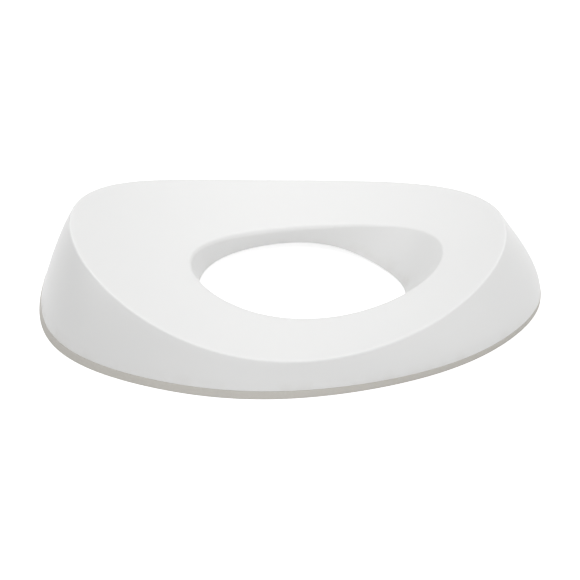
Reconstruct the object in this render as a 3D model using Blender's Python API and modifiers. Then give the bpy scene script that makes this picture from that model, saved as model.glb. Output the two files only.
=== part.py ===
"""Toilet seat reducer: a child's seat moulded in one piece, standing on a soft grip band.

Metres, +Z up. The origin is on the floor, under the middle of the base. The front of the
seat, where the hole is narrow and near the rim, faces -Y. The back, which is the higher
end, faces +Y, and the low thigh sides face -X and +X.
"""
import math

import bmesh
import bpy
from mathutils import Vector

# Base outline, where the grip band meets the floor; the width is taken across the middle.
# The taper narrows an outline towards the front, and the full shares say how much fuller
# than an ellipse it is at its shoulders, in front and behind
BASE_LENGTH = 0.360
BASE_WIDTH = 0.280
BASE_TAPER_SHARE = 0.095
BASE_FULL_SHARES = (-0.016, 0.024)

# Rim, the edge between the outer wall and the top
RIM_FRONT_INSET = 0.0258
RIM_BACK_INSET = 0.0232
RIM_SIDE_INSET = 0.0075
BACK_RIM_HEIGHT = 0.0642
FRONT_RIM_HEIGHT = 0.0559
SIDE_RIM_HEIGHT = 0.0248
FRONT_BULGE = 0.0049
BACK_BULGE = 0.0019
RIM_ROUND = 0.0022

# Top and hole; the valley is the height that the saddle would have at its middle
VALLEY_HEIGHT = 0.0172
HOLE_LENGTH = 0.179
HOLE_WIDTH = 0.1293
HOLE_FORWARD = 0.0207
HOLE_ROUND = 0.0042

# Throat, the lower edge of the wall that goes down from the hole; it dips at the front
THROAT_LENGTH = 0.149
THROAT_WIDTH = 0.1286
THROAT_FORWARD = 0.0089
THROAT_FULL_SHARES = (-0.079, 0.020)
THROAT_HEIGHT = 0.0074
THROAT_FRONT_DROP = 0.0066

# Moulding
WALL = 0.0026
RIB_THICKNESS = 0.0018
RIB_LIFT = 0.003
RIB_COUNT = 8

# Grip band, and the tongue of the shell that it is pushed onto
BAND_HEIGHT = 0.0055
BAND_WIDTH = 0.007
BAND_ROUND = 0.0008
TONGUE_INSET = 0.0013
TONGUE_THICKNESS = 0.0012
TONGUE_LENGTH = 0.003
TONGUE_ROOT = 0.001
SEAT_GAP = 0.0003

# How far a cutter reaches past what it cuts
CUT_OVERRUN = 0.004

# Fineness of the surface
STATIONS = 96
WALL_SHARES = (0.0, 0.3, 0.6, 0.8)
TOP_SHARES = (0.25, 0.5, 0.75)
THROAT_SHARES = (0.5, 1.0)
ROUND_SEGMENTS = 3
SMOOTH_ANGLE = math.radians(32.0)

SHELL_BOTTOM = BAND_HEIGHT + SEAT_GAP


# Outlines

def egg_outline(length, width, forward, taper_share=0.0, full_shares=(0.0, 0.0)):
    """A closed outline from the front round by +X: an ellipse, or an egg if it is tapered or
    fuller at its front or back shoulders."""
    front_full, back_full = full_shares
    outline = []
    for station in range(STATIONS):
        turn = 2.0 * math.pi * station / STATIONS
        back_share = (1.0 - math.cos(turn)) / 2.0
        full = front_full + (back_full - front_full) * back_share
        reach = 1.0 + full * math.sin(2.0 * turn) ** 2
        x = width / 2.0 * reach * math.sin(turn) * (1.0 - taper_share * math.cos(turn))
        y = -forward - length / 2.0 * reach * math.cos(turn)
        outline.append(Vector((x, y, 0.0)))
    return outline


def outward_directions(outline):
    """The level direction square to the outline and away from its middle, at each station."""
    directions = []
    for station in range(STATIONS):
        along = outline[(station + 1) % STATIONS] - outline[station - 1]
        directions.append(Vector((along.y, -along.x, 0.0)).normalized())
    return directions


RIM_LENGTH = BASE_LENGTH - RIM_FRONT_INSET - RIM_BACK_INSET
RIM_WIDTH = BASE_WIDTH - 2.0 * RIM_SIDE_INSET
RIM_FORWARD = (RIM_BACK_INSET - RIM_FRONT_INSET) / 2.0


def top_height(x, y):
    """Height of the saddle: it rises to the back and the front, and a little to the sides."""
    along = y + RIM_FORWARD
    end_height = BACK_RIM_HEIGHT if along > 0.0 else FRONT_RIM_HEIGHT
    lengthwise = (end_height - VALLEY_HEIGHT) * (2.0 * along / RIM_LENGTH) ** 2
    crosswise = (SIDE_RIM_HEIGHT - VALLEY_HEIGHT) * (2.0 * x / RIM_WIDTH) ** 2
    return VALLEY_HEIGHT + lengthwise + crosswise


def raised_to_top(outline):
    """The outline lifted onto the saddle."""
    return [Vector((p.x, p.y, top_height(p.x, p.y))) for p in outline]


def lowered_to_throat(outline):
    """The outline at the height of the hole wall's lower edge, which dips towards the front."""
    loop = []
    for p in outline:
        front_share = max(0.0, -p.y / (THROAT_LENGTH / 2.0 + THROAT_FORWARD))
        loop.append(Vector((p.x, p.y, THROAT_HEIGHT - THROAT_FRONT_DROP * front_share ** 2)))
    return loop


BASE = egg_outline(BASE_LENGTH, BASE_WIDTH, 0.0, BASE_TAPER_SHARE, BASE_FULL_SHARES)
RIM = raised_to_top(egg_outline(RIM_LENGTH, RIM_WIDTH, RIM_FORWARD))
HOLE = raised_to_top(egg_outline(HOLE_LENGTH, HOLE_WIDTH, HOLE_FORWARD))
THROAT = lowered_to_throat(
    egg_outline(THROAT_LENGTH, THROAT_WIDTH, THROAT_FORWARD, full_shares=THROAT_FULL_SHARES)
)
BASE_OUTWARD = outward_directions(BASE)
HOLE_OUTWARD = outward_directions(HOLE)


def wall_point(station, height, inset):
    """A point on the outer wall at a height, or inset level into the wall from there."""
    rise_share = height / RIM[station].z
    end_share = 2.0 * BASE[station].y / BASE_LENGTH
    end_bulge = BACK_BULGE if end_share > 0.0 else FRONT_BULGE
    bulge = end_bulge * end_share ** 2 * 4.0 * rise_share * (1.0 - rise_share)
    return BASE[station].lerp(RIM[station], rise_share) + BASE_OUTWARD[station] * (bulge - inset)


def level_loop(height, inset):
    """A loop round the outer wall, all at one height."""
    return [wall_point(station, height, inset) for station in range(STATIONS)]


def rising_loop(rise_share, inset):
    """A loop round the outer wall, at one share of the way from the floor up to the rim."""
    return [wall_point(station, rise_share * RIM[station].z, inset) for station in range(STATIONS)]


def top_loop(share):
    """A loop on the saddle between the rim (0) and the hole (1)."""
    return raised_to_top([rim.lerp(hole, share) for rim, hole in zip(RIM, HOLE)])


def lowered(loop, drop):
    """The loop moved straight down."""
    return [Vector((p.x, p.y, p.z - drop)) for p in loop]


def throat_loop(share, inset):
    """A loop on the hole's wall between the hole's edge (0) and its lower edge (1)."""
    return [
        hole.lerp(throat, share) + outward * inset
        for hole, throat, outward in zip(HOLE, THROAT, HOLE_OUTWARD)
    ]


# Mesh helpers

def new_object(name, mesh, collection):
    """An object for the mesh in the collection."""
    item = bpy.data.objects.new(name, mesh)
    collection.objects.link(item)
    return item


def loft(name, loops, collection, closed, marks=None):
    """Faces from loop to loop; closed joins the last loop to the first. marks gives the rows
    of edges that each rounding takes, by the rounding's name."""
    shape = bmesh.new()
    rows = [[shape.verts.new(point) for point in loop] for loop in loops]
    pairs = list(zip(rows, rows[1:]))
    if closed:
        pairs.append((rows[-1], rows[0]))
    for lower, upper in pairs:
        for station in range(STATIONS):
            following = (station + 1) % STATIONS
            shape.faces.new((lower[station], lower[following], upper[following], upper[station]))
    for mark, marked_rows in (marks or {}).items():
        weight = shape.edges.layers.float.new(mark)
        for row in marked_rows:
            for station in range(STATIONS):
                ends = (rows[row][station], rows[row][(station + 1) % STATIONS])
                shape.edges.get(ends)[weight] = 1.0
    mesh = bpy.data.meshes.new(name)
    shape.to_mesh(mesh)
    shape.free()
    return new_object(name, mesh, collection)


def add_round(item, mark, size):
    """Rounds the edges that carry a mark."""
    rounding = item.modifiers.new(mark, "BEVEL")
    rounding.limit_method = "WEIGHT"
    rounding.edge_weight = mark
    rounding.width = size
    rounding.segments = ROUND_SEGMENTS


def add_boolean(item, other, operation):
    """Cuts, joins or keeps what both hold. The exact solver leaves open edges where the
    tongue's root runs up inside the thin wall."""
    step = item.modifiers.new(operation.lower(), "BOOLEAN")
    step.operation = operation
    step.object = other
    step.solver = "MANIFOLD"


def box(name, size, centre, turn, collection):
    """A box of a size, turned about the vertical."""
    shape = bmesh.new()
    bmesh.ops.create_cube(shape, size=1.0)
    bmesh.ops.scale(shape, vec=size, verts=shape.verts)
    mesh = bpy.data.meshes.new(name)
    shape.to_mesh(mesh)
    shape.free()
    item = new_object(name, mesh, collection)
    item.location = centre
    item.rotation_euler.z = turn
    return item


def as_cutter(item):
    """Shows a helper shape as wires and keeps it out of the model."""
    item.hide_render = True
    item.display_type = "WIRE"
    return item


def finish(item, material):
    """Material and smooth shading."""
    item.data.materials.append(material)
    item.data.shade_smooth()
    item.data.set_sharp_from_angle(angle=SMOOTH_ANGLE)


# Materials

def plain_material(name, colour, roughness):
    """A plastic of one colour."""
    material = bpy.data.materials.new(name)
    material.use_nodes = True
    shader = material.node_tree.nodes["Principled BSDF"]
    shader.inputs["Base Color"].default_value = (*colour, 1.0)
    shader.inputs["Roughness"].default_value = roughness
    shader.inputs["Metallic"].default_value = 0.0
    return material


def shell_material():
    """White moulded plastic with a satin face."""
    return plain_material("white_shell", (0.84, 0.84, 0.83), 0.38)


def band_material():
    """Soft taupe rubber."""
    return plain_material("taupe_grip", (0.60, 0.58, 0.54), 0.75)


# Pieces

def tongue(name, clearance, root_height, collection):
    """The ring under the wall that holds the grip band, grown all over by a clearance."""
    outer = TONGUE_INSET - clearance
    inner = TONGUE_INSET + TONGUE_THICKNESS + clearance
    tip = SHELL_BOTTOM - TONGUE_LENGTH - clearance
    loops = [
        level_loop(tip, outer),
        level_loop(root_height, outer),
        level_loop(root_height, inner),
        level_loop(tip, inner),
    ]
    return as_cutter(loft(name, loops, collection, closed=True))


def wall_foot(cutters):
    """The ring that trims the outer wall level where the grip band begins."""
    loops = [
        level_loop(-CUT_OVERRUN, -CUT_OVERRUN),
        level_loop(SHELL_BOTTOM, -CUT_OVERRUN),
        level_loop(SHELL_BOTTOM, BAND_WIDTH),
        level_loop(-CUT_OVERRUN, BAND_WIDTH),
    ]
    return as_cutter(loft("wall_foot", loops, cutters, closed=True))


def rib_space(cutters):
    """The space between the walls, reaching half way into them, that the ribs fill."""
    half_wall = WALL / 2.0
    loops = [level_loop(SHELL_BOTTOM, half_wall)]
    loops += [rising_loop(share, half_wall) for share in WALL_SHARES[1:]]
    loops += [lowered(rising_loop(1.0, half_wall), half_wall)]
    loops += [lowered(top_loop(share), half_wall) for share in TOP_SHARES]
    loops += [lowered(throat_loop(0.0, half_wall), half_wall)]
    loops += [throat_loop(share, half_wall) for share in THROAT_SHARES]
    return as_cutter(loft("rib_space", loops, cutters, closed=True))


def rib_pair(turn, space, cutters):
    """Two ribs in one line across the seat, shaped by the space between the walls."""
    height = max(BACK_RIM_HEIGHT, FRONT_RIM_HEIGHT)
    size = (RIB_THICKNESS, BASE_LENGTH, height)
    centre = (0.0, 0.0, SHELL_BOTTOM + RIB_LIFT + height / 2.0)
    ribs = as_cutter(box("rib_pair", size, centre, turn, cutters))
    add_boolean(ribs, space, "INTERSECT")
    return ribs


def seat_shell(parts, cutters):
    """The seat: outer wall, saddle top and hole wall in one skin, ribbed below."""
    loops = [rising_loop(share, 0.0) for share in WALL_SHARES]
    rim_row = len(loops)
    loops += [RIM]
    loops += [top_loop(share) for share in TOP_SHARES]
    hole_row = len(loops)
    loops += [HOLE]
    loops += [throat_loop(share, 0.0) for share in THROAT_SHARES]
    marks = {"hole_round": [hole_row], "rim_round": [rim_row]}
    shell = loft("seat_shell", loops, parts, closed=False, marks=marks)
    add_round(shell, "hole_round", HOLE_ROUND)
    skin = shell.modifiers.new("wall", "SOLIDIFY")
    skin.thickness = WALL
    skin.offset = -1.0
    skin.use_even_offset = True
    add_round(shell, "rim_round", RIM_ROUND)
    add_boolean(shell, wall_foot(cutters), "DIFFERENCE")
    add_boolean(shell, tongue("tongue", 0.0, SHELL_BOTTOM + TONGUE_ROOT, cutters), "UNION")
    space = rib_space(cutters)
    for pair in range(RIB_COUNT // 2):
        turn = 2.0 * math.pi * (pair + 0.5) / RIB_COUNT
        add_boolean(shell, rib_pair(turn, space, cutters), "UNION")
    finish(shell, shell_material())


def grip_band(parts, cutters):
    """The soft band under the wall, with a groove that takes the shell's tongue."""
    loops = [
        level_loop(0.0, 0.0),
        level_loop(BAND_HEIGHT, 0.0),
        level_loop(BAND_HEIGHT, BAND_WIDTH),
        level_loop(0.0, BAND_WIDTH),
    ]
    band = loft("grip_band", loops, parts, closed=True, marks={"band_round": [0, 3]})
    add_round(band, "band_round", BAND_ROUND)
    groove = tongue("groove", SEAT_GAP, BAND_HEIGHT + CUT_OVERRUN, cutters)
    add_boolean(band, groove, "DIFFERENCE")
    finish(band, band_material())


def main():
    """Clears the scene and builds the two pieces."""
    for item in list(bpy.data.objects):
        bpy.data.objects.remove(item, do_unlink=True)
    parts = bpy.data.collections.new("toilet_seat_reducer")
    cutters = bpy.data.collections.new("cutters")
    bpy.context.scene.collection.children.link(parts)
    bpy.context.scene.collection.children.link(cutters)
    seat_shell(parts, cutters)
    grip_band(parts, cutters)


main()
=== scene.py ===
"""Finish of the toilet seat reducer: its moulded shell and grip band as fine meshes, their
materials, and a plain studio round them.

Metres, +Z up. The front of the seat faces -Y, the back, which is higher, faces +Y, and the
camera looks at it from -X.
"""
import math

import bpy
import numpy as np
from mathutils import Matrix, Vector
from mathutils.bvhtree import BVHTree
from mathutils.kdtree import KDTree


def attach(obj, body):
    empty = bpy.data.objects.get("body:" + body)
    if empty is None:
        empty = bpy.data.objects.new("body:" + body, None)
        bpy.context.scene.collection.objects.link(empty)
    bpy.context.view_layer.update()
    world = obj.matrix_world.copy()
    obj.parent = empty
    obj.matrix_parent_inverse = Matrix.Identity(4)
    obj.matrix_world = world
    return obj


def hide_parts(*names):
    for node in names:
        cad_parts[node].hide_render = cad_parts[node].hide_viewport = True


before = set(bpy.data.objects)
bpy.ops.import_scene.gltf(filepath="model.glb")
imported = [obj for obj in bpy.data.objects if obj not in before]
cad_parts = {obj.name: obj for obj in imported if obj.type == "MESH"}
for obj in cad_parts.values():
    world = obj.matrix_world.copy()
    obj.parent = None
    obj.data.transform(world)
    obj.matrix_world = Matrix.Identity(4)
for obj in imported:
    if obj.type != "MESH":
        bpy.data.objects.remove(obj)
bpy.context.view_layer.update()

# Sizes of the seat's outlines. The full shares say how much fuller than an ellipse an outline
# is at its shoulders: evenly, and with the cosine of one, two and three times the turn. A
# bulge with a sag above 0 lies lower on the wall, and one with a sag below 0 higher.
BASE_LENGTH = 0.360
BASE_WIDTH = 0.280
BASE_TAPER_SHARE = 0.12
BASE_FULL_SHARES = (0.0039, -0.0266, 0.0169, -0.0183)
RIM_FRONT_INSET = 0.0267
RIM_BACK_INSET = 0.024
RIM_SIDE_INSET = 0.0078
BACK_RIM_HEIGHT = 0.0638
FRONT_RIM_HEIGHT = 0.0557
SIDE_RIM_HEIGHT = 0.0249
FRONT_BULGE = 0.0057
BACK_BULGE = 0.0018
FRONT_BULGE_SAG = 0.45
BACK_BULGE_SAG = -0.4
VALLEY_HEIGHT = 0.0181
HOLE_LENGTH = 0.1793
HOLE_WIDTH = 0.1313
HOLE_FORWARD = 0.0190
HOLE_FULL_SHARES = (-0.0039, 0.0118)
THROAT_LENGTH = 0.1484
THROAT_WIDTH = 0.1287
THROAT_FORWARD = 0.0086
THROAT_FULL_SHARES = (-0.0276, -0.0438)
THROAT_HEIGHT = 0.0074
THROAT_FRONT_DROP = 0.0066
RIM_LENGTH = BASE_LENGTH - RIM_FRONT_INSET - RIM_BACK_INSET
RIM_WIDTH = BASE_WIDTH - 2.0 * RIM_SIDE_INSET
RIM_FORWARD = (RIM_BACK_INSET - RIM_FRONT_INSET) / 2.0

# Wall, roundings and ribs of the moulding
WALL = 0.0026
RIM_ROUND = 0.0016
HOLE_ROUND = 0.0036
FOOT_ROUND = 0.0003
RIB_COUNT = 8
RIB_THICKNESS = 0.0018
RIB_LIFT = 0.003
RIB_FILLET = 0.0012
RIB_ROUND = 0.0004
RIB_CORNER_ANGLE = math.radians(60.0)

# Marks under the top, each at a share of the way in from the rim to the hole
PIN_WIDTH = 0.007
PIN_DROP = 0.0004
PIN_SHARE = 0.5
GATE_WIDTH = 0.0035
GATE_HEIGHT = 0.0012
GATE_SHARE = 0.25

# Grip band and the tongue that it is pushed onto
BAND_HEIGHT = 0.005
BAND_WIDTH = 0.007
BAND_ROUND = 0.0008
BAND_PROUD = 0.0002
BAND_SEAM = 0.00005
TONGUE_INSET = 0.0013
TONGUE_THICKNESS = 0.0012
TONGUE_LENGTH = 0.003
SEAT_GAP = 0.0003
SHELL_BOTTOM = BAND_HEIGHT + SEAT_GAP

# Fineness of the meshes: the shares say how far up the wall, in over the top and down the
# hole's wall each loop lies, and how far out over a rib's flare each of its points lies
STATIONS = 360
WALL_SHARES = np.linspace(0.0, 0.85, 12)
TOP_SHARES = np.linspace(0.07, 0.90, 15)
THROAT_SHARES = np.array([0.42, 0.6, 0.8, 1.0])
FLARE_SHARES = np.array([0.0, 0.4, 0.55, 0.7, 0.85, 1.0])
RIB_COLUMNS = 26
RIB_ROWS = 12
ROUND_SEGMENTS = 6
RIB_ROUND_SEGMENTS = 3
STUD_SIDES = 32
SMOOTH_ANGLE = math.radians(35.0)

# Steps that leave no mark: between a tube's rows until they are laid along their loops, and
# between the two heights that a slope is read from
ROW_STEP = 0.01
PROBE = 0.0001

# How far from the rim and the hole's edge the polish of hands and legs reaches
WEAR_REACH = 0.007


# Outlines: one row of points for each loop round the seat

TURNS = np.arange(STATIONS) * 2.0 * math.pi / STATIONS


def egg_outline(length, width, forward, taper_share=0.0, full_shares=()):
    """A closed outline from the front round by +X: an ellipse, or an egg if it is tapered or
    has full shoulders."""
    full = sum(share * np.cos(times * TURNS) for times, share in enumerate(full_shares))
    reach = 1.0 + full * np.sin(2.0 * TURNS) ** 2
    x = width / 2.0 * reach * np.sin(TURNS) * (1.0 - taper_share * np.cos(TURNS))
    y = -forward - length / 2.0 * reach * np.cos(TURNS)
    return np.stack([x, y, np.zeros(STATIONS)], axis=1)


def outward_directions(outline):
    """The level direction square to the outline and away from its middle, at each station."""
    along = np.roll(outline, -1, axis=0) - np.roll(outline, 1, axis=0)
    outward = np.stack([along[:, 1], -along[:, 0], np.zeros(STATIONS)], axis=1)
    return outward / np.linalg.norm(outward, axis=1)[:, None]


def raised_to_top(outline):
    """The outline lifted onto the saddle."""
    along = outline[:, 1] + RIM_FORWARD
    end_height = np.where(along > 0.0, BACK_RIM_HEIGHT, FRONT_RIM_HEIGHT)
    lengthwise = (end_height - VALLEY_HEIGHT) * (2.0 * along / RIM_LENGTH) ** 2
    crosswise = (SIDE_RIM_HEIGHT - VALLEY_HEIGHT) * (2.0 * outline[:, 0] / RIM_WIDTH) ** 2
    raised = outline.copy()
    raised[:, 2] = VALLEY_HEIGHT + lengthwise + crosswise
    return raised


def lowered_to_throat(outline):
    """The outline at the height of the hole wall's lower edge, which dips towards the front."""
    front_share = np.maximum(0.0, -outline[:, 1] / (THROAT_LENGTH / 2.0 + THROAT_FORWARD))
    lowered = outline.copy()
    lowered[:, 2] = THROAT_HEIGHT - THROAT_FRONT_DROP * front_share ** 2
    return lowered


BASE = egg_outline(BASE_LENGTH, BASE_WIDTH, 0.0, BASE_TAPER_SHARE, BASE_FULL_SHARES)
RIM = raised_to_top(egg_outline(RIM_LENGTH, RIM_WIDTH, RIM_FORWARD))
HOLE = raised_to_top(
    egg_outline(HOLE_LENGTH, HOLE_WIDTH, HOLE_FORWARD, full_shares=HOLE_FULL_SHARES)
)
THROAT = lowered_to_throat(
    egg_outline(THROAT_LENGTH, THROAT_WIDTH, THROAT_FORWARD, full_shares=THROAT_FULL_SHARES)
)
BASE_OUTWARD = outward_directions(BASE)


def wall_loop(height, inset=0.0):
    """A loop round the outer wall, or inset from it, at a height or at one height for each
    station."""
    rise = (height / RIM[:, 2])[:, None]
    end_share = 2.0 * BASE[:, 1] / BASE_LENGTH
    end_bulge = np.where(end_share > 0.0, BACK_BULGE, FRONT_BULGE) * end_share ** 2
    sag = np.where(end_share > 0.0, BACK_BULGE_SAG, FRONT_BULGE_SAG)[:, None]
    bulge = end_bulge[:, None] * 4.0 * rise * (1.0 - rise) * (1.0 + sag * (1.0 - 2.0 * rise))
    return BASE + (RIM - BASE) * rise + BASE_OUTWARD * (bulge - inset)


def climbing_loop(share):
    """A loop on the outer wall between its lower edge (0) and the rim (1)."""
    return wall_loop(SHELL_BOTTOM + (RIM[:, 2] - SHELL_BOTTOM) * share)


def top_loop(share):
    """A loop on the saddle between the rim (0) and the hole (1)."""
    return raised_to_top(RIM + (HOLE - RIM) * share)


def throat_loop(share):
    """A loop on the hole's wall between the hole's edge (0) and its lower edge (1)."""
    return HOLE + (THROAT - HOLE) * share


# Meshes

def deselect_all():
    """Nothing selected, and object mode."""
    if bpy.context.object and bpy.context.object.mode != "OBJECT":
        bpy.ops.object.mode_set(mode="OBJECT")
    bpy.ops.object.select_all(action="DESELECT")


def make_active(piece):
    """The piece alone is selected and active."""
    deselect_all()
    piece.select_set(True)
    bpy.context.view_layer.objects.active = piece


def place_points(piece, points):
    """Moves a mesh's points, in their own order."""
    piece.data.vertices.foreach_set("co", np.asarray(points, np.float32).ravel())
    piece.data.update()


def points_of(piece):
    """A mesh's points."""
    points = np.empty(len(piece.data.vertices) * 3)
    piece.data.vertices.foreach_get("co", points)
    return points.reshape(-1, 3)


def edge_ends_of(piece):
    """The numbers of the two points of each of a mesh's edges."""
    ends = np.empty(len(piece.data.edges) * 2, int)
    piece.data.edges.foreach_get("vertices", ends)
    return ends.reshape(-1, 2)


def wrapped_tube(name, loops):
    """A ring drawn up row by row into a tube and closed on itself, each row then laid along
    its own loop."""
    deselect_all()
    bpy.ops.mesh.primitive_circle_add(vertices=STATIONS, radius=BASE_WIDTH / 2.0)
    tube = bpy.context.object
    tube.name = name
    bpy.ops.object.mode_set(mode="EDIT")
    bpy.ops.mesh.select_all(action="SELECT")
    one_row_up = {"value": (0.0, 0.0, ROW_STEP)}
    for _ in loops[1:]:
        bpy.ops.mesh.extrude_region_move(TRANSFORM_OT_translate=one_row_up)
    bpy.ops.object.mode_set(mode="OBJECT")
    points = points_of(tube)
    rows = np.rint(points[:, 2] / ROW_STEP).astype(int)
    turns = np.arctan2(points[:, 0], -points[:, 1])
    stations = np.rint(turns / (2.0 * math.pi) * STATIONS).astype(int) % STATIONS
    open_ends = (rows == 0) | (rows == len(loops) - 1)
    first, second = edge_ends_of(tube).T
    tube.data.vertices.foreach_set("select", open_ends)
    tube.data.edges.foreach_set("select", (rows[first] == rows[second]) & open_ends[first])
    bpy.ops.object.mode_set(mode="EDIT")
    bpy.ops.mesh.bridge_edge_loops()
    bpy.ops.object.mode_set(mode="OBJECT")
    place_points(tube, np.asarray(loops)[rows, stations])
    tube["rows"] = rows.tolist()
    tube["stations"] = stations.tolist()
    return tube


def weigh_rounds(tube, sizes):
    """Marks the edges that run along some rows with the size of each one's rounding, given for
    the row or for each station, as a share of the largest size, and gives that size back."""
    first, second = edge_ends_of(tube).T
    rows, station = np.array(tube["rows"]), np.array(tube["stations"])[first]
    widths = np.zeros(len(first))
    for row, size in sizes.items():
        along_row = (rows[first] == row) & (rows[second] == row)
        widths[along_row] = np.broadcast_to(size, STATIONS)[station[along_row]]
    marks = tube.data.attributes.new("bevel_weight_edge", "FLOAT", "EDGE")
    marks.data.foreach_set("value", (widths / widths.max()).astype(np.float32))
    del tube["rows"], tube["stations"]
    return widths.max()


def apply_modifiers(piece):
    """Makes the piece's modifiers part of its mesh, first to last."""
    make_active(piece)
    for modifier in list(piece.modifiers):
        bpy.ops.object.modifier_apply(modifier=modifier.name)


def round_rows(tube, sizes):
    """Rounds the edges along some rows."""
    largest = weigh_rounds(tube, sizes)
    rounding = tube.modifiers.new("round", "BEVEL")
    rounding.limit_method = "WEIGHT"
    rounding.width = largest
    rounding.segments = ROUND_SEGMENTS
    rounding.use_clamp_overlap = False
    apply_modifiers(tube)


def faced_outwards(piece):
    """Turns the faces of a closed mesh outwards."""
    make_active(piece)
    bpy.ops.object.mode_set(mode="EDIT")
    bpy.ops.mesh.select_all(action="SELECT")
    bpy.ops.mesh.normals_make_consistent(inside=False)
    bpy.ops.object.mode_set(mode="OBJECT")


def inner_loops(outer):
    """The loops of an even wall inside a skin: each point goes in square to both faces that
    meet there."""
    skin = np.asarray(outer)
    round_way = np.roll(skin, -1, axis=1) - np.roll(skin, 1, axis=1)
    ahead = np.diff(skin, axis=0)
    before = np.concatenate([ahead[:1], ahead])
    after = np.concatenate([ahead, ahead[-1:]])
    normals = []
    for along in (before, after):
        normal = np.cross(round_way, along)
        normals.append(normal / np.linalg.norm(normal, axis=2)[:, :, None])
    opening = 1.0 + (normals[0] * normals[1]).sum(axis=2)[:, :, None]
    return skin - (normals[0] + normals[1]) / opening * WALL


def tangent_length(before, corner, after, radius):
    """How far from an edge a rounding of one radius starts, at each station."""
    round_way = np.roll(corner, -1, axis=0) - np.roll(corner, 1, axis=0)
    normals = [np.cross(round_way, corner - before), np.cross(round_way, after - corner)]
    lengths = [np.linalg.norm(normal, axis=1) for normal in normals]
    bend = (normals[0] * normals[1]).sum(axis=1) / (lengths[0] * lengths[1])
    return radius * np.sqrt((1.0 - bend) / (1.0 + bend))


def levelled(loop, along, height):
    """A loop slid along its own slope to one height."""
    return loop + along * ((height - loop[:, 2]) / along[:, 2])[:, None]


def joined(body, others):
    """Makes closed shapes part of the body."""
    added = bpy.data.collections.new("added")
    for other in others:
        added.objects.link(other)
    step = body.modifiers.new("join", "BOOLEAN")
    step.operation = "UNION"
    step.operand_type = "COLLECTION"
    step.collection = added
    step.solver = "MANIFOLD"
    apply_modifiers(body)
    for other in others:
        bpy.data.objects.remove(other, do_unlink=True)
    bpy.data.collections.remove(added)


# The seat's shell

def shell_body():
    """The skin of the seat with its even wall and the tongue under it, as one closed tube, with
    the loops of the skin and the rows of the rim and the hole's edge among them."""
    outer = [climbing_loop(share) for share in WALL_SHARES]
    rim_row = len(outer)
    outer += [RIM] + [top_loop(share) for share in TOP_SHARES]
    hole_row = len(outer)
    outer += [HOLE] + [throat_loop(share) for share in THROAT_SHARES]
    inner = list(inner_loops(outer))
    inner[0] = wall_loop(SHELL_BOTTOM, WALL + SEAT_GAP / 2.0)
    inner[-1] = levelled(inner[-1], outer[-1] - outer[-2], outer[-1][:, 2])
    tip = SHELL_BOTTOM - TONGUE_LENGTH
    tongue_inner = TONGUE_INSET + TONGUE_THICKNESS
    tongue = [
        wall_loop(SHELL_BOTTOM, tongue_inner),
        wall_loop(tip, tongue_inner),
        wall_loop(tip, TONGUE_INSET),
        wall_loop(SHELL_BOTTOM, TONGUE_INSET),
    ]
    last = len(outer) + len(inner) - 1
    at_rim = outer[rim_row - 1:rim_row + 2]
    at_hole = outer[hole_row - 1:hole_row + 2]
    sizes = {
        rim_row: tangent_length(*at_rim, RIM_ROUND),
        last - rim_row: FOOT_ROUND,
        hole_row: tangent_length(*at_hole, HOLE_ROUND),
        last - hole_row: tangent_length(*at_hole, HOLE_ROUND - WALL),
        0: FOOT_ROUND,
        len(outer) - 1: FOOT_ROUND,
        len(outer): FOOT_ROUND,
        last + 2: FOOT_ROUND / 2.0,
        last + 3: FOOT_ROUND / 2.0,
    }
    shell = wrapped_tube("seat_shell_moulding", outer + inner[::-1] + tongue)
    round_rows(shell, sizes)
    faced_outwards(shell)
    return shell, outer, rim_row, hole_row


def crossing(loop, turn):
    """Where a loop crosses the upright plane through the middle at a turn from the front."""
    sideways = np.array([math.cos(turn), math.sin(turn), 0.0])
    forwards = np.array([math.sin(turn), -math.cos(turn), 0.0])
    offsets = loop @ sideways
    following = np.roll(loop, -1, axis=0)
    crosses = (offsets <= 0.0) & (following @ sideways > 0.0) & (loop @ forwards > 0.0)
    station = np.nonzero(crosses)[0][0]
    share = offsets[station] / (offsets[station] - following[station] @ sideways)
    return loop[station] + (following[station] - loop[station]) * share


def flare(distance):
    """How much a rib thickens where it runs into a wall, at a distance from the wall."""
    short = np.clip(RIB_FILLET - distance, 0.0, RIB_FILLET)
    return 2.0 * (RIB_FILLET - np.sqrt(RIB_FILLET ** 2 - short ** 2))


def along_line(points, shares):
    """Points at shares of the length of a line of points."""
    steps = np.linalg.norm(np.diff(points, axis=0), axis=1)
    travelled = np.concatenate([[0.0], np.cumsum(steps)])
    places = shares * travelled[-1]
    return np.stack([np.interp(places, travelled, column) for column in points.T], axis=1)


def length_of(points):
    """The length of a line of points."""
    return np.linalg.norm(np.diff(points, axis=0), axis=1).sum()


def rib_lines(number, middle, rim_row, hole_row):
    """The lines that a rib hangs between, in the middle of the walls: the top's from the hole
    outwards, and the hole wall's and the outer wall's from the top down."""
    turn = 2.0 * math.pi * (number + 0.5) / RIB_COUNT
    line = np.array([crossing(loop, turn) for loop in middle])
    foot = SHELL_BOTTOM + RIB_LIFT
    top = line[rim_row:hole_row + 1][::-1]
    hole_foot = levelled(line[-1:], line[-1:] - line[hole_row], foot)
    descent = line[:rim_row + 1][::-1]
    descent = descent[descent[:, 2] > foot + RIB_FILLET]
    outer_foot = levelled(line[1:2], line[1:2] - line[:1], foot)
    return top, np.vstack([line[hole_row], hole_foot]), np.vstack([descent, outer_foot])


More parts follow.
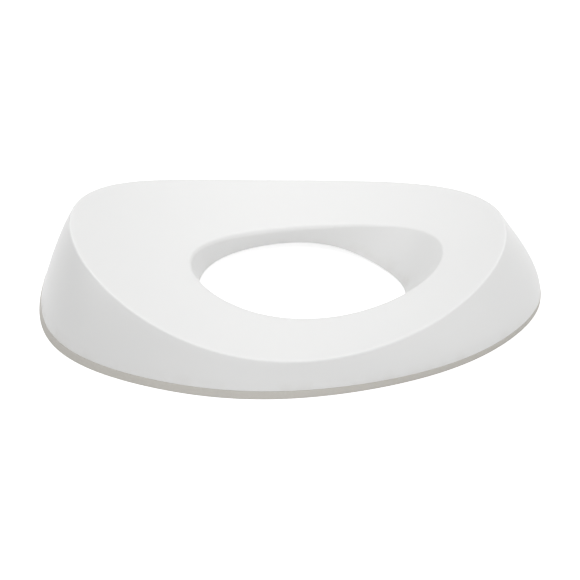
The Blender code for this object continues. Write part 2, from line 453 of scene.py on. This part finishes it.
def sheet_between(top, hole_side, outer_side, across, down):
    """The points of a sheet with a straight lower edge that fills the space between a top line
    and two side lines, at shares of its width and height."""
    u, v = across[:, None, None], down[None, :, None]
    low = hole_side[-1] + (outer_side[-1] - hole_side[-1]) * across[:, None]
    sheet = (1.0 - v) * along_line(top, across)[:, None] + v * low[:, None]
    sheet = sheet + (1.0 - u) * along_line(hole_side, down)[None]
    sheet = sheet + u * along_line(outer_side, down)[None]
    sheet = sheet - (1.0 - v) * ((1.0 - u) * top[0] + u * top[-1])
    return sheet - v * ((1.0 - u) * hole_side[-1] + u * outer_side[-1])


def rib(number, middle, rim_row, hole_row):
    """One upright rib, a sheet hung between the middles of the outer wall, the top and the
    hole's wall, and flared where it meets them. Its points lie close together on the flare
    and evenly in between."""
    top, hole_side, outer_side = rib_lines(number, middle, rim_row, hole_row)
    width, height = length_of(top), length_of(outer_side)
    bury = WALL / 2.0
    near = FLARE_SHARES * (bury + RIB_FILLET)
    between = np.linspace(0.0, 1.0, RIB_COLUMNS)[2:-2]
    below = np.linspace(near[-1] / height, 1.0, RIB_ROWS)[1:]
    across = np.concatenate([near / width, between, 1.0 - near[::-1] / width])
    down = np.concatenate([near / height, below])
    side = np.minimum(across, 1.0 - across) * width
    thick = RIB_THICKNESS + flare(down * height - bury)[None] + flare(side - bury)[:, None]
    columns, rows = len(across), len(down)
    deselect_all()
    bpy.ops.mesh.primitive_grid_add(
        x_subdivisions=columns - 1, y_subdivisions=rows - 1, size=1.0
    )
    sheet = bpy.context.object
    sheet.name = "rib"
    grid = points_of(sheet)
    column = np.rint((grid[:, 0] + 0.5) * (columns - 1)).astype(int)
    row = np.rint((grid[:, 1] + 0.5) * (rows - 1)).astype(int)
    points = sheet_between(top, hole_side, outer_side, across, down)
    place_points(sheet, points[column, row])
    group = sheet.vertex_groups.new(name="thickness")
    for point, share in enumerate(thick[column, row] / thick.max()):
        group.add([point], share, "REPLACE")
    wall = sheet.modifiers.new("wall", "SOLIDIFY")
    wall.thickness = thick.max()
    wall.offset = 0.0
    wall.vertex_group = group.name
    rounding = sheet.modifiers.new("round", "BEVEL")
    rounding.limit_method = "ANGLE"
    rounding.angle_limit = RIB_CORNER_ANGLE
    rounding.width = RIB_ROUND
    rounding.segments = RIB_ROUND_SEGMENTS
    apply_modifiers(sheet)
    faced_outwards(sheet)
    return sheet


def underside(x, y):
    """Height of the inner face of the top."""
    outline = np.stack([x, y, np.zeros(len(x))], axis=1)
    height = raised_to_top(outline)[:, 2]
    slope_x = (raised_to_top(outline + (PROBE, 0.0, 0.0))[:, 2] - height) / PROBE
    slope_y = (raised_to_top(outline + (0.0, PROBE, 0.0))[:, 2] - height) / PROBE
    return height - WALL * np.sqrt(1.0 + slope_x ** 2 + slope_y ** 2)


def stud(centre, width, drop):
    """A short round stud that stands out of the inner face of the top and follows it."""
    deselect_all()
    bpy.ops.mesh.primitive_cylinder_add(
        vertices=STUD_SIDES, radius=width / 2.0, depth=1.0, location=(centre[0], centre[1], 0.0)
    )
    bpy.ops.object.transform_apply(location=True)
    pin = bpy.context.object
    points = points_of(pin)
    face = underside(points[:, 0], points[:, 1])
    points[:, 2] = np.where(points[:, 2] < 0.0, face - drop, face + WALL / 2.0)
    place_points(pin, points)
    faced_outwards(pin)
    return pin


def moulding_marks():
    """Where the ejector pins pushed the moulding out, one between each two ribs, and the stub
    that the gate left at the back."""
    turns = [2.0 * math.pi * number / RIB_COUNT for number in range(RIB_COUNT)]
    pin_loop = top_loop(PIN_SHARE)
    pins = [stud(crossing(pin_loop, turn), PIN_WIDTH, PIN_DROP) for turn in turns]
    gate = stud(crossing(top_loop(GATE_SHARE), math.pi), GATE_WIDTH, GATE_HEIGHT)
    return pins + [gate]


def keep_number(piece, name, numbers):
    """Keeps a number for each point of a piece, for its finish to read."""
    kept = piece.data.attributes.new(name, "FLOAT", "POINT")
    kept.data.foreach_set("value", np.asarray(numbers, np.float32))


def off_skin(shell, outer):
    """1 on the faces that the mould's core made, under the seat, and 0 on its outer skin, with
    the change from half to three quarters of the wall's thickness away from the skin."""
    rows = np.asarray(outer)
    number = np.arange(rows.shape[0] * STATIONS).reshape(-1, STATIONS)
    following = np.roll(number, -1, axis=1)
    faces = np.stack([number[:-1], following[:-1], following[1:], number[1:]], axis=-1)
    skin = BVHTree.FromPolygons(rows.reshape(-1, 3).tolist(), faces.reshape(-1, 4).tolist())
    depths = np.array([skin.find_nearest(point)[3] for point in points_of(shell)])
    return np.clip((depths - WALL / 2.0) / (WALL / 4.0), 0.0, 1.0)


def near_edges(shell):
    """1 along the rim and the hole's edge, falling to 0 at a small distance."""
    edges = KDTree(2 * STATIONS)
    for number, point in enumerate(np.concatenate([RIM, HOLE])):
        edges.insert(point, number)
    edges.balance()
    distances = np.array([edges.find(point)[2] for point in points_of(shell)])
    return np.clip(1.0 - distances / WEAR_REACH, 0.0, 1.0)


def seat_shell():
    """The whole moulding, ribs and all."""
    shell, outer, rim_row, hole_row = shell_body()
    middle = (np.asarray(outer) + inner_loops(outer)) / 2.0
    ribs = [rib(number, middle, rim_row, hole_row) for number in range(RIB_COUNT)]
    joined(shell, ribs + moulding_marks())
    keep_number(shell, "core_side", off_skin(shell, outer))
    keep_number(shell, "edge", near_edges(shell))
    return shell


# The grip band

def grip_band():
    """The soft ring with its groove for the tongue, as one closed tube. Each corner of its
    profile has an inset from the wall, a height and the size of its rounding."""
    groove_outer = TONGUE_INSET - SEAT_GAP
    groove_inner = TONGUE_INSET + TONGUE_THICKNESS + SEAT_GAP
    groove_floor = SHELL_BOTTOM - TONGUE_LENGTH - SEAT_GAP
    band_top = SHELL_BOTTOM - BAND_SEAM
    profile = [
        (0.0, 0.0, BAND_ROUND),
        (-BAND_PROUD / 2.0, BAND_HEIGHT / 2.0, 0.0),
        (-BAND_PROUD, band_top, FOOT_ROUND / 2.0),
        (groove_outer, band_top, FOOT_ROUND / 2.0),
        (groove_outer, groove_floor, 0.0),
        (groove_inner, groove_floor, 0.0),
        (groove_inner, band_top, FOOT_ROUND / 2.0),
        (BAND_WIDTH, band_top, BAND_ROUND),
        (BAND_WIDTH, 0.0, BAND_ROUND),
    ]
    loops = [wall_loop(height, inset) for inset, height, _ in profile]
    sizes = {row: size for row, (_, _, size) in enumerate(profile) if size}
    band = wrapped_tube("grip_band_ring", loops)
    round_rows(band, sizes)
    faced_outwards(band)
    return band


# Shading

class Value:
    """A number or colour that changes over a surface: the output of a shader node."""

    def __init__(self, shading, socket):
        self.shading = shading
        self.socket = socket

    def worked_out(self, operation, first, second):
        """One step of arithmetic on two values or numbers."""
        return self.shading.add("ShaderNodeMath", {"operation": operation}, {0: first, 1: second})

    def __add__(self, other):
        return self.worked_out("ADD", self, other)

    def __radd__(self, other):
        return self.worked_out("ADD", other, self)

    def __sub__(self, other):
        return self.worked_out("SUBTRACT", self, other)

    def __rsub__(self, other):
        return self.worked_out("SUBTRACT", other, self)

    def __mul__(self, other):
        return self.worked_out("MULTIPLY", self, other)

    def __rmul__(self, other):
        return self.worked_out("MULTIPLY", other, self)


class Shading:
    """The nodes of a material or of the world."""

    def __init__(self, tree):
        self.tree = tree

    def add(self, kind, settings=None, sockets=None, output=0):
        """Adds a node with its settings and the values or links of its sockets."""
        node = self.tree.nodes.new(kind)
        for setting, choice in (settings or {}).items():
            setattr(node, setting, choice)
        self.feed(node, sockets or {})
        return Value(self, node.outputs[output])

    def feed(self, node, sockets):
        """Sets or links a node's sockets."""
        for name, given in sockets.items():
            if isinstance(given, Value):
                self.tree.links.new(given.socket, node.inputs[name])
            else:
                node.inputs[name].default_value = given


class Finish(Shading):
    """A material and the nodes that give it its grain, tone and gloss."""

    # A ring pattern at scale 1 repeats at about this distance
    RING_SPACING = 0.3
    RING_WOBBLE = 0.4

    def __init__(self, name):
        self.material = bpy.data.materials.new(name)
        self.material.use_nodes = True
        super().__init__(self.material.node_tree)
        self.surface = self.tree.nodes["Principled BSDF"]

    def place(self):
        """The place on the piece, in metres."""
        return self.add("ShaderNodeTexCoord", output="Object")

    def height(self):
        """The height above the floor, in metres."""
        return self.add("ShaderNodeSeparateXYZ", None, {"Vector": self.place()}, "Z")

    def attribute(self, name):
        """A number kept on the piece's points."""
        return self.add("ShaderNodeAttribute", {"attribute_name": name}, None, "Fac")

    def noise(self, size, detail):
        """A cloudy pattern from 0 to 1, whose blobs are about one size across, in metres."""
        sockets = {"Vector": self.place(), "Scale": 1.0 / size, "Detail": detail}
        return self.add("ShaderNodeTexNoise", None, sockets, "Fac")

    def tool_marks(self, spacing):
        """The faint rings that a cutter left in the mould's core, from 0 to 1."""
        settings = {"wave_type": "RINGS", "rings_direction": "Z"}
        sockets = {
            "Vector": self.place(),
            "Scale": self.RING_SPACING / spacing,
            "Distortion": self.RING_WOBBLE,
        }
        return self.add("ShaderNodeTexWave", settings, sockets, "Fac")

    def ramp(self, value, low, high):
        """0 up to the low value, 1 from the high one, and even between them."""
        sockets = {"Value": value, "From Min": low, "From Max": high}
        return self.add("ShaderNodeMapRange", None, sockets, "Result")

    def blend(self, share, first, second):
        """A colour between two colours."""
        sockets = {"Factor": share, 6: first, 7: second}
        return self.add("ShaderNodeMix", {"data_type": "RGBA"}, sockets, 2)

    def relief(self, height, depth, strength=1.0, under=None):
        """Fine relief; depth is in metres for a height from 0 to 1."""
        sockets = {"Height": height, "Distance": depth, "Strength": strength}
        if under:
            sockets["Normal"] = under
        return self.add("ShaderNodeBump", None, sockets, "Normal")


def swing(pattern, reach):
    """How a pattern from 0 to 1 moves a number up and down, over a reach."""
    return (pattern - 0.5) * reach


# Finish of the shell. Sizes, heights and depths are in metres; a tint says how far a colour
# goes over to another, and the rest how far the roughness moves.
COOL_WHITE = (0.832, 0.834, 0.829, 1.0)
WARM_WHITE = (0.848, 0.848, 0.841, 1.0)
# Painted shade: the faces under the seat are tinted towards this darker white
UNDERSIDE_PAINTED_SHADE = (0.800, 0.802, 0.798, 1.0)
UNDERSIDE_SHADE_TINT = 0.7
FOOT_DUST = (0.735, 0.720, 0.690, 1.0)
FOOT_DUST_TINT = 0.35
FOOT_DUST_BOTTOM = 0.006
FOOT_DUST_TOP = 0.013
FOOT_DUST_PATCHES = (0.42, 0.68)
SCUFF_PATCHES = (0.45, 0.75)
SATIN_ROUGHNESS = 0.37
SATIN_CLOUD = 0.05
SATIN_SPECK = 0.06
EDGE_POLISH = 0.03
SCUFF_DULLNESS = 0.03
FOOT_DUST_DULLNESS = 0.12
CORE_DULLNESS = 0.10
TOOL_MARK_SPACING = 0.0011
TOOL_MARK_DEPTH = 0.000012
RIPPLE_DEPTH = 0.00003
RIPPLE_STRENGTH = 0.6
MOULD_GRAIN_DEPTH = 0.000016


def white_satin():
    """Satin white plastic with the fine grain of a blasted mould: it is polished a little along
    the edges that are handled, dusty at its foot, duller with tool marks underneath, and painted
    a little darker underneath as shade."""
    finish = Finish("white_satin_shell")
    core = finish.attribute("core_side")
    edge = finish.attribute("edge")
    cloud = finish.noise(size=0.045, detail=2.0)
    smear = finish.noise(size=0.012, detail=4.0)
    speck = finish.noise(size=0.0018, detail=3.0)
    grain = finish.noise(size=0.0005, detail=2.0)
    ripple = finish.noise(size=0.0035, detail=1.0)
    # The ramp runs downwards, so that the dust is thickest at the foot
    foot = finish.ramp(finish.height(), FOOT_DUST_TOP, FOOT_DUST_BOTTOM)
    dust = foot * finish.ramp(smear, *FOOT_DUST_PATCHES)
    scuff = edge * finish.ramp(smear, *SCUFF_PATCHES)
    colour = finish.blend(cloud, COOL_WHITE, WARM_WHITE)
    # Painted shade: the underside, which the mould's core made, is tinted a little darker because
    # it lies under the seat
    colour = finish.blend(core * UNDERSIDE_SHADE_TINT, colour, UNDERSIDE_PAINTED_SHADE)
    colour = finish.blend(dust * FOOT_DUST_TINT, colour, FOOT_DUST)
    roughness = SATIN_ROUGHNESS + swing(cloud, SATIN_CLOUD) + swing(speck, SATIN_SPECK)
    roughness = roughness - edge * EDGE_POLISH + scuff * SCUFF_DULLNESS
    roughness = roughness + dust * FOOT_DUST_DULLNESS + core * CORE_DULLNESS
    marks = finish.tool_marks(TOOL_MARK_SPACING) * core
    relief = finish.relief(ripple, RIPPLE_DEPTH, RIPPLE_STRENGTH)
    relief = finish.relief(marks, TOOL_MARK_DEPTH, under=relief)
    relief = finish.relief(grain, MOULD_GRAIN_DEPTH, under=relief)
    finish.feed(finish.surface, {"Base Color": colour, "Roughness": roughness, "Normal": relief})
    return finish.material


# Finish of the grip band, in the same terms
DARK_TAUPE = (0.595, 0.573, 0.530, 1.0)
PALE_TAUPE = (0.635, 0.612, 0.568, 1.0)
LINT = (0.690, 0.675, 0.640, 1.0)
LINT_TINT = 0.3
LINT_PATCHES = (0.52, 0.72)
RUBBER_ROUGHNESS = 0.70
RUBBER_CLOUD = 0.12
LINT_DULLNESS = 0.08
RUBBER_GRAIN_DEPTH = 0.00004
RUBBER_SHEEN = 0.35
RUBBER_SHEEN_ROUGHNESS = 0.3


def taupe_rubber():
    """Matt taupe rubber with a fine pebbled grain, paler where lint clings to it."""
    finish = Finish("taupe_grip_rubber")
    cloud = finish.noise(size=0.02, detail=3.0)
    fluff = finish.noise(size=0.0022, detail=4.0)
    grain = finish.noise(size=0.0006, detail=2.0)
    lint = finish.ramp(fluff, *LINT_PATCHES)
    colour = finish.blend(cloud, DARK_TAUPE, PALE_TAUPE)
    colour = finish.blend(lint * LINT_TINT, colour, LINT)
    roughness = RUBBER_ROUGHNESS + swing(cloud, RUBBER_CLOUD) + lint * LINT_DULLNESS
    relief = finish.relief(grain, RUBBER_GRAIN_DEPTH)
    finish.feed(finish.surface, {
        "Base Color": colour,
        "Roughness": roughness,
        "Normal": relief,
        "Sheen Weight": RUBBER_SHEEN,
        "Sheen Roughness": RUBBER_SHEEN_ROUGHNESS,
    })
    return finish.material


def dressed(piece, material, node):
    """Gives a piece its finish and puts it in the place of its solid."""
    make_active(piece)
    piece.data.materials.clear()
    piece.data.materials.append(material)
    bpy.ops.object.shade_smooth_by_angle(angle=SMOOTH_ANGLE)
    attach(piece, "root")
    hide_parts(node)


# Studio. Each softbox has a place and a width in metres, and a power in watts.

FULL_WHITE = (1.0, 1.0, 1.0, 1.0)
FLOOR_GREY = (0.6, 0.6, 0.6, 1.0)
FLOOR_WIDTH = 8.0
FLOOR_GLOW = 0.84
FLOOR_ROUGHNESS = 0.9
SKY_LEVEL = 0.38
SOFTBOXES = {
    "overhead": ((0.1, 0.1, 1.3), 1.2, 2.8),
    "behind": ((0.9, 0.0, 1.2), 1.2, 7.0),
    "camera_side": ((-1.3, 0.0, 0.9), 1.0, 4.9),
    "right_front": ((-0.9, -1.1, 0.8), 0.9, 5.5),
    "left": ((0.0, 1.5, 0.8), 0.9, 3.0),
}
CAMERA_DISTANCE = 1.8
CAMERA_ELEVATION = math.radians(30.0)
CAMERA_LENS = 154.978
CAMERA_SENSOR = 36.0
CAMERA_SIDEWAYS = 0.0014
CAMERA_RAISED = 0.0034
AIM_Y = 0.0015


def seen_rays(shading):
    """1 where the camera sees a surface, directly, in a reflection or through glass."""
    direct = shading.add("ShaderNodeLightPath", output="Is Camera Ray")
    mirrored = shading.add("ShaderNodeLightPath", output="Is Glossy Ray")
    through = shading.add("ShaderNodeLightPath", output="Is Transmission Ray")
    return direct + mirrored + through


def studio_floor():
    """A plain pale floor that keeps the seat's soft shadow and looks nearly white."""
    deselect_all()
    bpy.ops.mesh.primitive_plane_add(size=FLOOR_WIDTH)
    floor = bpy.context.object
    floor.name = "studio_floor"
    finish = Finish("pale_floor")
    finish.feed(finish.surface, {
        "Base Color": FLOOR_GREY,
        "Roughness": FLOOR_ROUGHNESS,
        "Specular IOR Level": 0.0,
        "Emission Color": FULL_WHITE,
        "Emission Strength": seen_rays(finish) * FLOOR_GLOW,
    })
    floor.data.materials.append(finish.material)


def studio_sky():
    """White behind the seat, and a plain grey level for what lights it."""
    world = bpy.data.worlds.new("studio_sky")
    world.use_nodes = True
    bpy.context.scene.world = world
    shading = Shading(world.node_tree)
    level = SKY_LEVEL + seen_rays(shading) * (1.0 - SKY_LEVEL)
    background = world.node_tree.nodes["Background"]
    shading.feed(background, {"Color": FULL_WHITE, "Strength": level})


def softbox(name, place, width, power):
    """A square lamp that faces the seat."""
    lamp = bpy.data.lights.new(name, "AREA")
    lamp.size = width
    lamp.energy = power
    holder = bpy.data.objects.new(name, lamp)
    bpy.context.scene.collection.objects.link(holder)
    holder.location = place
    holder.rotation_euler = Vector(place).to_track_quat("Z", "Y").to_euler()


def studio_camera():
    """The camera at the photograph's angle, level, from -X."""
    back = Vector((-math.cos(CAMERA_ELEVATION), 0.0, math.sin(CAMERA_ELEVATION)))
    up = Vector((math.sin(CAMERA_ELEVATION), 0.0, math.cos(CAMERA_ELEVATION)))
    right = Vector((0.0, -1.0, 0.0))
    lens = bpy.data.cameras.new("camera")
    lens.lens = CAMERA_LENS
    lens.sensor_width = CAMERA_SENSOR
    camera = bpy.data.objects.new("camera", lens)
    bpy.context.scene.collection.objects.link(camera)
    aim = Vector((0.0, AIM_Y, 0.0)) + right * CAMERA_SIDEWAYS + up * CAMERA_RAISED
    camera.location = aim + back * CAMERA_DISTANCE
    camera.rotation_euler = Matrix((right, up, back)).transposed().to_euler()
    bpy.context.scene.camera = camera


dressed(seat_shell(), white_satin(), "seat_shell")
dressed(grip_band(), taupe_rubber(), "grip_band")

studio_floor()
studio_sky()
for name, (place, width, power) in SOFTBOXES.items():
    softbox(name, place, width, power)
studio_camera()
bpy.context.scene.view_settings.view_transform = "Standard"
